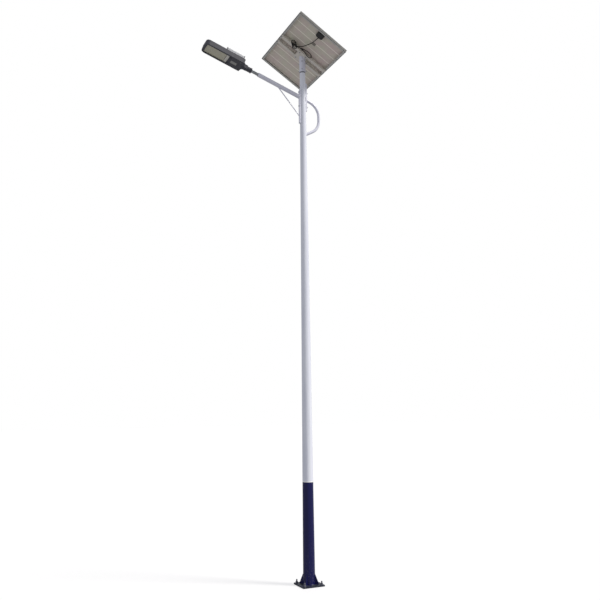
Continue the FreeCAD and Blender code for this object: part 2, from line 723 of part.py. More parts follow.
def make_housing():
    half = lamp_width / 2
    side = half - lamp_side_wall
    body = make_body_shell()
    body = body.fuse(rod(neck_dia, V(0, 0, 0), V(1, 0, 0), neck_length + 12.0))
    body = body.fuse(rod(neck_collar_dia, V(0, 0, 0), V(1, 0, 0), neck_collar))
    for y in hinge_offsets:
        for end in (-1, 1):
            near = y + end * (knuckle_length / 2 + body_gap)
            across = sorted((near, near + end * knuckle_length / 2))
            knuckle = block((hinge_x - knuckle_radius, hinge_x + knuckle_radius), across, (hinge_z, under))
            knuckle = knuckle.fuse(rod(2 * knuckle_radius, V(hinge_x, across[0], hinge_z), V(0, 1, 0),
                                       across[1] - across[0]))
            body = body.fuse(knuckle)
        body = body.cut(rod(hinge_pin_dia, V(hinge_x, y - knuckle_length, hinge_z), V(0, 1, 0), 2 * knuckle_length))
    body = body.removeSplitter()
    # driver space, lamp space above the heat spreader, and the two openings below
    partition_top = ledge_top + 6.0
    door_half = door_width / 2
    body = body.cut(block((door_near_x - 3, door_far_x + 3), (-side, side), (under + 8, roof)))
    body = body.cut(block((door_near_x, lamp_length - 12), (-side + 10, side - 10), (partition_top, roof)))
    body = body.cut(block((door_near_x, door_far_x), (-door_half, door_half), (under, under + door_thick + 1)))
    body = body.cut(block((door_near_x + door_ledge, door_far_x - door_ledge),
                          (-door_half + door_ledge, door_half - door_ledge), (under, under + 8)))
    glass_half = window_width / 2
    body = body.cut(block((window_near_x, window_far_x), (-glass_half, glass_half), (under, lens_top + gasket_thick)))
    body = body.cut(block((window_near_x + window_ledge, window_far_x - window_ledge),
                          (-glass_half + window_ledge, glass_half - window_ledge), (under, ledge_top)))
    socket = rod(spigot_dia + 2 * running_gap, V(0, 0, 0), V(1, 0, 0), spigot_in_neck + 2.0)
    wires = rod(wire_hole, V(0, 0, 0), V(1, 0, 0), door_near_x + 10)
    body = body.cut(socket).cut(wires)
    for thread, spots in ((8.0, clamp_spots), (3.0, lens_screw_spots), (5.0, battery_screw_spots)):
        for spot in spots:
            body = body.cut(rod(thread, spot, up, 16.0))
    for spot in door_screw_spots:
        body = body.cut(rod(6.4, spot, up, 12.0))
    save("lamp_housing", place(body, lamp_frame))


clamp_spots = [V(x, 0, -neck_collar_dia / 2) for x in (32.0, 66.0)]
lens_rim = window_ledge / 2
lens_screw_spots = [V(x, y, lens_low) for x in (window_near_x + 12, window_near_x + window_length / 2,
                                                window_far_x - 12)
                    for y in (-window_width / 2 + lens_rim, window_width / 2 - lens_rim)]
battery_screw_spots = [V(x, y, roof) for x in (battery_near_x + 30.0, battery_near_x + battery_length - 30.0)
                       for y in (-60.0, 60.0)]
door_screw_spots = [V(door_near_x + 12.0, y, under) for y in (-door_width / 2 + 12.0, door_width / 2 - 12.0)]


def make_lens_and_leds():
    fit = 0.5
    rim_x = (window_near_x + fit, window_far_x - fit)
    rim_y = (-window_width / 2 + fit, window_width / 2 - fit)
    open_x = (window_near_x + window_ledge, window_far_x - window_ledge)
    open_y = (-window_width / 2 + window_ledge, window_width / 2 - window_ledge)
    lens = block(rim_x, rim_y, (lens_low, lens_top))
    gasket = block(rim_x, rim_y, (lens_top, lens_top + gasket_thick))
    gasket = gasket.cut(block(open_x, open_y, (lens_top, lens_top + gasket_thick)))
    screws = []
    for spot in lens_screw_spots:
        shank = rod(3.0, spot, up, 12.0)
        lens = lens.cut(shank)
        gasket = gasket.cut(shank)
        screws.append(place(rod(5.0, spot - V(0, 0, 1.6), up, 1.6).fuse(shank).removeSplitter(), lamp_frame))
    save("lens_plate", place(lens, lamp_frame))
    save("lens_gasket", place(gasket, lamp_frame))
    save("lens_screws", *screws)
    board_low = ledge_top - led_board_thick
    edge = 3.0
    board = block((open_x[0] + edge, open_x[1] - edge), (open_y[0] + edge, open_y[1] - edge), (board_low, ledge_top))
    save("led_board", place(board, lamp_frame))
    leds = []
    pitch_x = (open_x[1] - open_x[0] - 20) / led_columns
    pitch_y = (open_y[1] - open_y[0] - 20) / led_rows
    middle = (open_x[0] + open_x[1]) / 2
    for column in range(led_columns):
        for row in range(led_rows):
            x = middle + (column - (led_columns - 1) / 2) * pitch_x
            y = (row - (led_rows - 1) / 2) * pitch_y
            leds.append(place(block((x - led_side / 2, x + led_side / 2), (y - led_side / 2, y + led_side / 2),
                                    (board_low - 1.0, board_low)), lamp_frame))
    save("led_chips", *leds)


def make_lamp_fittings():
    tip = -(spigot_dia / 2 + body_gap)
    save("clamp_screws", *[place(rod(8.0, V(spot.x, 0, -neck_dia / 2), up, neck_dia / 2 + tip), lamp_frame)
                           for spot in clamp_spots])
    pins = [rod(hinge_pin_dia, V(hinge_x, y - knuckle_length, hinge_z), V(0, 1, 0), 2 * knuckle_length)
            for y in hinge_offsets]
    save("hinge_pins", *[place(pin, lamp_frame) for pin in pins])
    controller = block((door_near_x + 20.0, door_near_x + 20.0 + controller_length),
                       (-controller_width / 2, controller_width / 2), (roof - controller_height, roof))
    save("charge_controller", place(controller, lamp_frame))


# --- battery on the lamp's roof ----------------------------------------------
def make_battery():
    half = battery_width / 2
    far_x = battery_near_x + battery_length
    top = lamp_top + battery_height
    case_x = (battery_near_x + battery_cap_thick, far_x - battery_cap_thick)
    inner_y = (-half + battery_sheet, half - battery_sheet)
    floor = lamp_top + battery_sheet
    case = block(case_x, (-half, half), (lamp_top, top))
    long_edges = [edge for edge in case.Edges
                  if abs(edge.Vertexes[0].Point.x - edge.Vertexes[1].Point.x) > 1 and edge.Vertexes[0].Point.z > floor]
    case = case.makeFillet(4.0, long_edges)
    case = case.cut(block(case_x, (inner_y[0] + 2.5, inner_y[1] - 2.5), (floor, top - battery_sheet)))
    groove_low = lamp_top + 0.42 * battery_height
    for side in (-1, 1):
        across = sorted((side * half, side * (half - 2.5)))
        case = case.cut(block(case_x, across, (groove_low, groove_low + 5.0)))
    screws = []
    for spot in battery_screw_spots:
        shank = rod(5.0, spot, up, lamp_wall + battery_sheet)
        case = case.cut(shank)
        screws.append(place(rod(8.5, spot - V(0, 0, 2.5), up, 2.5).fuse(shank).removeSplitter(), lamp_frame))
    save("battery_case", place(case, lamp_frame))
    save("battery_screws", *screws)
    proud = half + battery_cap_proud
    caps, cap_screws = [], []
    for x, out in ((battery_near_x, 1), (far_x, -1)):
        span = sorted((x, x + out * battery_cap_thick))
        cap = block(span, (-proud, proud), (lamp_top + 0.5, top + battery_cap_proud))
        upright = [edge for edge in cap.Edges if abs(edge.Vertexes[0].Point.x - edge.Vertexes[1].Point.x) > 1]
        cap = cap.makeFillet(3.0, upright)
        for y in (-half + 10, half - 10):
            middle = V(x, y, lamp_top + battery_height / 2)
            shank = rod(3.0, middle, V(out, 0, 0), battery_cap_thick)
            cap = cap.cut(shank)
            head = rod(6.0, middle - V(out * 2.0, 0, 0), V(out, 0, 0), 2.0)
            cap_screws.append(place(head.fuse(shank).removeSplitter(), lamp_frame))
        caps.append(place(cap, lamp_frame))
    save("battery_caps", *caps)
    save("cap_screws", *cap_screws)
    cans = []
    pitch = cell_dia + 0.4
    first = case_x[0] + 6.0 + cell_dia / 2
    for column in range(cell_can_columns):
        for y in (-cell_can_length - 1.0, 1.0):
            spot = V(first + column * pitch, y, floor + cell_dia / 2)
            cans.append(place(rod(cell_dia, spot, V(0, 1, 0), cell_can_length), lamp_frame))
    save("battery_cells", *cans)
    board_x = first + (cell_can_columns - 0.5) * pitch + 1.0
    save("battery_board", place(block((board_x, board_x + 1.6), (-70, 70), (floor, floor + 24)), lamp_frame))


# --- driver door -------------------------------------------------------------
def make_door():
    half = door_width / 2 - door_gap
    span = (door_near_x + door_gap, door_far_x - door_gap)
    door = block(span, (-half, half), (under, under + door_thick))
    edge = span[1]
    low = hinge_z + 1.0
    for y in hinge_offsets:
        across = (y - knuckle_length / 2, y + knuckle_length / 2)
        strap = block((edge - 12, edge), across, (low, under))
        strap = strap.fuse(block((edge, hinge_x), across, (low, under - body_gap)))
        knuckle = rod(2 * knuckle_radius, V(hinge_x, across[0], hinge_z), V(0, 1, 0), knuckle_length)
        door = door.fuse(strap).fuse(knuckle)
        door = door.cut(rod(hinge_pin_dia + 2 * running_gap, V(hinge_x, across[0], hinge_z), V(0, 1, 0),
                            knuckle_length))
    door = door.removeSplitter()
    rim_x = (span[0] + 0.5, span[1] - 0.5)
    rim_y = (-half + 0.5, half - 0.5)
    seal_z = (under + door_thick, under + door_thick + 1 - body_gap)
    seal = block(rim_x, rim_y, seal_z)
    wide = door_ledge + 0.5
    seal = seal.cut(block((rim_x[0] + wide, rim_x[1] - wide), (rim_y[0] + wide, rim_y[1] - wide), seal_z))
    screws = []
    for spot in door_screw_spots:
        shank = rod(5.0, spot, up, 10.0)
        door = door.cut(shank)
        seal = seal.cut(shank)
        screws.append(place(rod(9.0, spot - V(0, 0, 2.2), up, 2.2).fuse(shank).removeSplitter(), lamp_frame))
    save("driver_door", place(door, lamp_frame))
    save("door_seal", place(seal, lamp_frame))
    save("door_screws", *screws)
    label_x = (door_near_x + 43.0, door_far_x - 21.0)
    label_y = (-24.0, 24.0)
    save("door_label", place(block(label_x, label_y, (under - label_thick, under)), lamp_frame))


os.makedirs("parts", exist_ok=True)
make_base()
make_gussets()
make_pole()
make_brackets()
make_arm()
make_tail()
make_sleeve()
make_head_plate()
make_rails()
make_frame()
make_corner_keys()
make_laminate()
make_junction_box()
cord("cable_feed", feed_route)
make_coil()
cord("cable_lead", lead_route)
make_cable_fixings()
make_housing()
make_lens_and_leds()
make_lamp_fittings()
make_battery()
make_door()
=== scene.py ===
import bpy
import bmesh
import math
from mathutils import Matrix, Vector


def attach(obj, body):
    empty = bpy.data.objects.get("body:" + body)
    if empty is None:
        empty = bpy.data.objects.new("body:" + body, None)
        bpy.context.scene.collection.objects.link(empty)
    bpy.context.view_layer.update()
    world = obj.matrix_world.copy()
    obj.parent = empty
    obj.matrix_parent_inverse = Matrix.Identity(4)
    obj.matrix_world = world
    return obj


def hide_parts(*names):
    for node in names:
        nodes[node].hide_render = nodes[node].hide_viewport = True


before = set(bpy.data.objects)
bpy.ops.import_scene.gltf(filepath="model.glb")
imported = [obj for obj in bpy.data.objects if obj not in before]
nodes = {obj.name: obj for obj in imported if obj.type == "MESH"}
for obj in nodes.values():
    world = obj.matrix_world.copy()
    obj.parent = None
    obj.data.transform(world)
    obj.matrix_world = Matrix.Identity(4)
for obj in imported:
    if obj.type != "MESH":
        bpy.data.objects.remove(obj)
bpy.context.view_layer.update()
print("frame loaded:", len(nodes), "nodes")

# everything is in metres, in the part's own frame: the lamp arm points along -X

camera = dict(
    place=(-3.442, -7.136, 1.834), forward=(0.4221, 0.8929, 0.1566), rollDegrees=-0.69,
    lens=42.28, sensorWidth=36, farClip=400)


def makeCamera(values):
    forward = Vector(values["forward"]).normalized()
    right = forward.cross(Vector((0, 0, 1))).normalized()
    above = right.cross(forward)
    roll = math.radians(values["rollDegrees"])
    rightRolled = right * math.cos(roll) + above * math.sin(roll)
    aboveRolled = above * math.cos(roll) - right * math.sin(roll)
    turn = Matrix((rightRolled, aboveRolled, -forward)).transposed().to_4x4()
    data = bpy.data.cameras.new("camera")
    data.lens = values["lens"]
    data.sensor_width = values["sensorWidth"]
    data.clip_end = values["farClip"]
    thing = bpy.data.objects.new("camera", data)
    bpy.context.scene.collection.objects.link(thing)
    thing.matrix_world = Matrix.Translation(Vector(values["place"])) @ turn
    bpy.context.scene.camera = thing


makeCamera(camera)
print("camera placed")

# the panel's own axes: x down the slope, y level, z out of the glass
panelAxes = dict(centre=(0, 0, 6.081049), tiltDegrees=31.1)
panelTurn = Matrix.Rotation(math.radians(panelAxes["tiltDegrees"]), 4, "Y")
panelPlace = Matrix.Translation(Vector(panelAxes["centre"])) @ panelTurn

# the lamp's own axes: x from the neck's mouth to the tip, z up out of the roof
lampAxes = dict(crossing=(0, 0, 5.519), riseDegrees=18.3, mouth=0.692)


def lampMatrix(values):
    rise = math.radians(values["riseDegrees"])
    along = Vector((-math.cos(rise), 0, math.sin(rise)))
    roofward = Vector((math.sin(rise), 0, math.cos(rise)))
    turn = Matrix((along, Vector((0, -1, 0)), roofward)).transposed().to_4x4()
    return Matrix.Translation(Vector(values["crossing"]) + along * values["mouth"]) @ turn


lampPlace = lampMatrix(lampAxes)

# panel cable, in the panel's axes: out of the gland, along to the rail, three and a half loose
# turns, then the loop on the other side, over the rail and down into the grommet
cable = dict(
    diameter=0.009,
    feed=[(0, -0.4265, -0.0027), (-0.001, -0.394, -0.006), (-0.007, -0.35, -0.015),
          (-0.019, -0.296, -0.022), (-0.036, -0.241, -0.026), (-0.056, -0.186, -0.027),
          (-0.078, -0.138, -0.027), (-0.106, -0.106, -0.03), (-0.142, -0.092, -0.034)],
    lead=[(-0.098, -0.134, -0.057), (-0.066, -0.15, -0.054), (-0.03, -0.172, -0.054),
          (0.006, -0.19, -0.058), (0.042, -0.2, -0.065), (0.074, -0.194, -0.072),
          (0.089, -0.163, -0.075), (0.073, -0.133, -0.071), (0.041, -0.124, -0.062),
          (0.006, -0.129, -0.054), (-0.027, -0.129, -0.043), (-0.049, -0.113, -0.026),
          (-0.05, -0.091, -0.012), (-0.036, -0.069, -0.004), (-0.018, -0.049, -0.002),
          (-0.003, -0.029, -0.007), (0.005, -0.011, -0.017), (0.007, 0.001, -0.029),
          (0.006, 0.004, -0.042)],
    coilFirst=(-0.179, -0.118, -0.027), coilStep=(0.0144, 0.0044, -0.012), coilTurns=3.5,
    coilRadii=(0.029, 0.0275, 0.0295, 0.028, 0.029), coilLeanDegrees=15, pointsPerTurn=14,
    ringSteps=5, alongSteps=6)


def coilPoints(values):
    lean = math.radians(values["coilLeanDegrees"])
    across = Vector((1, 0, 0))
    outward = Vector((0, math.cos(lean), -math.sin(lean)))
    points = []
    count = round(values["coilTurns"] * values["pointsPerTurn"])
    for i in range(count + 1):
        turn = i / values["pointsPerTurn"]
        low = int(turn)
        share = turn - low
        radii = values["coilRadii"]
        radius = radii[low] * (1 - share) + radii[low + 1] * share
        centre = Vector(values["coilFirst"]) + Vector(values["coilStep"]) * turn
        angle = math.pi / 2 + turn * 2 * math.pi
        points.append(centre + (across * math.cos(angle) + outward * math.sin(angle)) * radius)
    return points


def makeCable(values):
    data = bpy.data.curves.new("panelCable", "CURVE")
    data.dimensions = "3D"
    data.bevel_depth = 1  # each point's radius is the cable's own
    data.bevel_resolution = values["ringSteps"]
    data.use_fill_caps = True
    spline = data.splines.new("NURBS")
    points = [Vector(p) for p in values["feed"]] + coilPoints(values) + [Vector(p) for p in values["lead"]]
    spline.points.add(len(points) - 1)
    for spot, point in zip(spline.points, points):
        spot.co = (*(panelPlace @ point), 1)
        spot.radius = values["diameter"] / 2
    spline.order_u = 3
    spline.use_endpoint_u = True
    spline.resolution_u = values["alongSteps"]
    thing = bpy.data.objects.new("panelCable", data)
    bpy.context.scene.collection.objects.link(thing)
    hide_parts("cable_feed", "cable_coil", "cable_lead")
    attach(thing, "panel_head")
    return thing


panelCable = makeCable(cable)
print("cable laid")


# materials

def hexColour(text):
    channels = [int(text[i:i + 2], 16) / 255 for i in (1, 3, 5)]
    return tuple(c / 12.92 if c <= 0.04045 else ((c + 0.055) / 1.055) ** 2.4 for c in channels) + (1,)


def perSize(millimetres):
    # a pattern's scale from the size of one of its marks
    return 1000 / millimetres


# a colour Mix has several sockets of each name, so its blend and colours go by number;
# so do a Math node's values
blend, colourA, colourB = 0, 6, 7

# most of a noise texture lies between these, and its highest spots above these
noiseLow, noiseHigh = 0.3, 0.7
patchStart, patchFull = 0.5, 0.8


def addNode(tree, kind, inputs=None, **settings):
    node = tree.nodes.new(kind)
    for name, value in settings.items():
        setattr(node, name, value)
    for key, value in (inputs or {}).items():
        if isinstance(value, bpy.types.NodeSocket):
            tree.links.new(value, node.inputs[key])
        else:
            node.inputs[key].default_value = value
    return node


def startMaterial(name, shaderInputs, matrix=None):
    material = bpy.data.materials.new(name)
    material.use_nodes = True
    tree = material.node_tree
    tree.nodes.clear()
    shader = addNode(tree, "ShaderNodeBsdfPrincipled", shaderInputs)
    addNode(tree, "ShaderNodeOutputMaterial", {"Surface": shader.outputs[0]})
    where = addNode(tree, "ShaderNodeTexCoord").outputs["Object"]
    if matrix is not None:  # the pattern lies in these axes
        where = addNode(tree, "ShaderNodeMapping", {
            "Vector": where, "Location": matrix.to_translation(), "Rotation": matrix.to_euler()},
            vector_type="TEXTURE").outputs[0]
    return material, tree, shader, where


def addMarks(tree, spread, values):
    # the base colour and its shade, in crystals or in soft marks
    if values.get("spangle"):
        marks = addNode(tree, "ShaderNodeTexVoronoi", {
            "Vector": spread, "Scale": perSize(values["markSize"])})
        mark = addNode(tree, "ShaderNodeSeparateColor", {"Color": marks.outputs["Color"]}).outputs[0]
    else:
        mark = addNode(tree, "ShaderNodeTexNoise", {
            "Vector": spread, "Scale": perSize(values["markSize"]),
            "Detail": 5, "Roughness": 0.55}).outputs[0]
    share = addNode(tree, "ShaderNodeMapRange", {
        "Value": mark, "From Min": noiseLow, "From Max": noiseHigh})
    return addNode(tree, "ShaderNodeMix", {
        blend: share.outputs[0], colourA: hexColour(values["base"]), colourB: hexColour(values["shade"])},
        data_type="RGBA").outputs[2]


def addFinish(tree, shader, where, values, base=None):
    # tone marks unless a base colour is given, dust or rust in patches, and a grain for gloss and bump
    spread = addNode(tree, "ShaderNodeMapping", {
        "Vector": where, "Scale": values.get("stretch", (1, 1, 1))}).outputs[0]
    if base is None:
        base = addMarks(tree, spread, values)
    patches = addNode(tree, "ShaderNodeTexNoise", {
        "Vector": where, "Scale": perSize(values.get("patchSize", 60)), "Detail": 8, "Roughness": 0.65})
    share = addNode(tree, "ShaderNodeMapRange", {
        "Value": patches.outputs[0], "From Min": patchStart, "From Max": patchFull,
        "To Max": values.get("patchShare", 0.25)})
    colour = addNode(tree, "ShaderNodeMix", {
        blend: share.outputs[0], colourA: base, colourB: hexColour(values.get("patch", "#8f8d88"))},
        data_type="RGBA")
    tree.links.new(colour.outputs[2], shader.inputs["Base Color"])
    grain = addNode(tree, "ShaderNodeTexNoise", {
        "Vector": spread, "Scale": perSize(values["grainSize"]), "Detail": 3})
    low, high = values["rough"]
    rough = addNode(tree, "ShaderNodeMapRange", {
        "Value": grain.outputs[0], "From Min": noiseLow, "From Max": noiseHigh,
        "To Min": low, "To Max": high})
    tree.links.new(rough.outputs[0], shader.inputs["Roughness"])
    bump = addNode(tree, "ShaderNodeBump", {
        "Height": grain.outputs[0], "Strength": values.get("bump", 0.3),
        "Distance": values["grainDepth"] / 1000})
    tree.links.new(bump.outputs[0], shader.inputs["Normal"])


def makeFinish(name, values, matrix=None):
    given = {"Metallic": values.get("metallic", 0), "Coat Weight": values.get("coat", 0),
             "Coat Roughness": 0.15}
    if "specular" in values:
        given["Specular IOR Level"] = values["specular"]
    if "ior" in values:
        given["IOR"] = values["ior"]
    material, tree, shader, where = startMaterial(name, given, matrix)
    addFinish(tree, shader, where, values)
    return material


# every size in the finishes is in millimetres; grains are drawn coarser than the real ones, to show

# polyester powder coat: cool white with a soft orange peel and a little grime
whitePowderCoat = makeFinish("whitePowderCoat", dict(
    base="#dfe1ee", shade="#d2d4e4", markSize=120, stretch=(1, 1, 0.25),
    patch="#aeb0bd", patchShare=0.16, patchSize=45,
    grainSize=2.2, grainDepth=0.12, bump=0.25, rough=(0.24, 0.38), ior=1.5, coat=0.25))

# gloss enamel, navy: deep colour with a clear top, dull where it is dusty
navyEnamel = makeFinish("navyEnamel", dict(
    base="#10124f", shade="#0d0f46", markSize=70, patch="#3a3c63", patchShare=0.2, patchSize=22,
    grainSize=2.4, grainDepth=0.15, bump=0.3, rough=(0.2, 0.36), ior=1.5, specular=0.3))

# the same enamel on hot-rolled plate: mill scale and grey steel come through it
plateEnamel = makeFinish("plateEnamel", dict(
    base="#181b40", shade="#171e24", markSize=40, patch="#848a82", patchShare=0.75, patchSize=26,
    grainSize=3, grainDepth=0.3, bump=0.45, rough=(0.35, 0.6), ior=1.5))

# hot-dip galvanised steel: flat grey spangles, each a little lighter or darker
galvanisedSteel = makeFinish("galvanisedSteel", dict(
    base="#a9adb0", shade="#868b8f", markSize=9, spangle=True, patch="#c9cbca", patchShare=0.4, patchSize=18,
    grainSize=1.6, grainDepth=0.05, bump=0.2, rough=(0.34, 0.5), metallic=0.9))

# the same coat weathered on the foundation bolts: dark, dull lavender grey
weatheredZinc = makeFinish("weatheredZinc", dict(
    base="#70717d", shade="#5b5c68", markSize=5, patch="#9a9baa", patchShare=0.4, patchSize=8,
    grainSize=1.6, grainDepth=0.08, bump=0.3, rough=(0.45, 0.6), metallic=0.4))

# electro zinc plate on fasteners: bluish and bright, with dull spots
zincPlate = makeFinish("zincPlate", dict(
    base="#b4b9c0", shade="#9096a0", markSize=6, patch="#6f6a62", patchShare=0.5, patchSize=7,
    grainSize=0.9, grainDepth=0.05, bump=0.25, rough=(0.25, 0.42), metallic=1))

# stainless steel, turned: clean and a little warm
stainlessSteel = makeFinish("stainlessSteel", dict(
    base="#c2c1bd", shade="#a9a8a4", markSize=4, patch="#8a8883", patchShare=0.3, patchSize=5,
    grainSize=0.7, grainDepth=0.03, bump=0.2, rough=(0.2, 0.34), metallic=1))

# roll-formed rails, zinc coated and weathered: dull warm grey with drawn lines down the slope
rolledZinc = makeFinish("rolledZinc", dict(
    base="#dedad2", shade="#d0ccc4", markSize=12, stretch=(0.06, 1, 1),
    patch="#dad6ce", patchShare=0.3, patchSize=30,
    grainSize=1.4, grainDepth=0.06, bump=0.25, rough=(0.5, 0.65), metallic=0.2), panelPlace)

# mill-finish die-cast keys
millAluminium = makeFinish("millAluminium", dict(
    base="#b5b5b2", shade="#9c9c99", markSize=8,
    grainSize=1.2, grainDepth=0.05, rough=(0.35, 0.5), metallic=0.9))

# brushed battery extrusion: fine lines along its length, bright where it turns
brushedAluminium = makeFinish("brushedAluminium", dict(
    base="#cdcfd3", shade="#b9bcc1", markSize=16, stretch=(0.03, 1, 1),
    patch="#a3a5ab", patchShare=0.25, patchSize=50,
    grainSize=0.9, grainDepth=0.05, bump=0.3, rough=(0.28, 0.42), metallic=0.15), lampPlace)

# die-cast aluminium under dark grey powder coat: a sandy, matte skin
darkPowderCoat = makeFinish("darkPowderCoat", dict(
    base="#3c3d47", shade="#34353f", markSize=60, patch="#5d5e66", patchShare=0.3, patchSize=24,
    grainSize=1.3, grainDepth=0.18, bump=0.5, rough=(0.42, 0.6), ior=1.5), lampPlace)

# ABS, injection moulded: black with a fine spark texture
blackAbs = makeFinish("blackAbs", dict(
    base="#0d0d0f", shade="#141416", markSize=25, patch="#2b2b2c", patchShare=0.25, patchSize=18,
    grainSize=0.9, grainDepth=0.08, bump=0.4, rough=(0.38, 0.55), ior=1.53))

# PVC jacket of the cable: near black, satin, with chalky dust
cableJacket = makeFinish("cableJacket", dict(
    base="#030304", shade="#070708", markSize=18, patch="#161615", patchShare=0.15, patchSize=12,
    grainSize=1.0, grainDepth=0.05, bump=0.3, rough=(0.5, 0.65), ior=1.53, specular=0.3))

# nylon tie and gland: slightly glossier than the box
blackNylon = makeFinish("blackNylon", dict(
    base="#18181a", shade="#232326", markSize=5, patch="#3b3a39", patchShare=0.2, patchSize=8,
    grainSize=0.8, grainDepth=0.05, bump=0.3, rough=(0.3, 0.45), ior=1.53))

# silicone seals: matte and grey black
siliconeSeal = makeFinish("siliconeSeal", dict(
    base="#2b2b2c", shade="#343434", markSize=9, patch="#55534f", patchShare=0.3, patchSize=9,
    grainSize=0.8, grainDepth=0.06, bump=0.3, rough=(0.55, 0.72), ior=1.41))

# white solder mask over an aluminium core
boardMask = makeFinish("boardMask", dict(
    base="#dfe3d9", shade="#d2d8cb", markSize=20, patch="#b9bfae", patchShare=0.3, patchSize=30,
    grainSize=1.0, grainDepth=0.02, bump=0.2, rough=(0.3, 0.45), ior=1.55))

# green solder mask, glossy with copper shadows
greenMask = makeFinish("greenMask", dict(
    base="#0f5a32", shade="#0b4727", markSize=3, spangle=True,
    grainSize=0.8, grainDepth=0.02, rough=(0.25, 0.4), ior=1.55))

# heat-shrunk sleeve of the cells
shrinkWrap = makeFinish("shrinkWrap", dict(
    base="#1f5f8f", shade="#1a5480", markSize=12,
    grainSize=1.5, grainDepth=0.1, bump=0.3, rough=(0.18, 0.3), ior=1.5))

# LED packages: a white moulded rim, and a dome of yellow phosphor in silicone
chipRim = makeFinish("chipRim", dict(
    base="#e8e6da", shade="#d9d6c6", markSize=2, grainSize=0.6, grainDepth=0.01, rough=(0.3, 0.45), ior=1.5))
chipPhosphor = makeFinish("chipPhosphor", dict(
    base="#e0c23a", shade="#d3b12c", markSize=1.5, patch="#e9d35e",
    grainSize=0.6, grainDepth=0.02, rough=(0.25, 0.4), ior=1.41))

# printed film labels, left blank: the lamp's is silvery, the panel's has yellowed
blankLabel = makeFinish("blankLabel", dict(
    base="#9b9c9a", shade="#8d8e8c", markSize=14, patch="#6f706f", patchShare=0.35, patchSize=8,
    grainSize=0.9, grainDepth=0.02, rough=(0.35, 0.5), ior=1.5, metallic=0.3))
agedLabel = makeFinish("agedLabel", dict(
    base="#8d897f", shade="#7f7b73", markSize=12, patch="#6a6761", patchShare=0.3, patchSize=9,
    grainSize=0.9, grainDepth=0.02, rough=(0.45, 0.6), ior=1.5))

print("finishes made")


# enamelled pole: powder white above, navy below, a painted highlight along the line where they meet,
# run marks down its length, a painted shadow ring under the sleeve's rim and splash dust near the ground;
# heights and blurs are in metres
# the bright bead colour just above the navy line is a painted highlight
# the dark ring colour under the sleeve's rim is painted shade
poleEnamelValues = dict(
    white="#e3e7f1", whiteShade="#d6dae8", navy="#10124f", navyShade="#0d0f46", bead="#f1f2f6",
    dust="#8b8580", rimShade="#4d4e57", line=1.075, lineBlur=0.0006, highlightHeight=0.012, highlightBlur=0.002,
    rim=5.853, rimHeight=0.016, rimBlur=0.003, rimShadeShare=0.85,
    streakSize=26, streakStretch=0.05, streakFrom=0.35,
    splashSize=14, splashFrom=0.52, splashFull=0.75, plateTop=0.016, dustTop=0.5, dustLow=0.5, dustHigh=0.02,
    peelSize=2.4, peelDepth=0.12, rough=(0.22, 0.36))


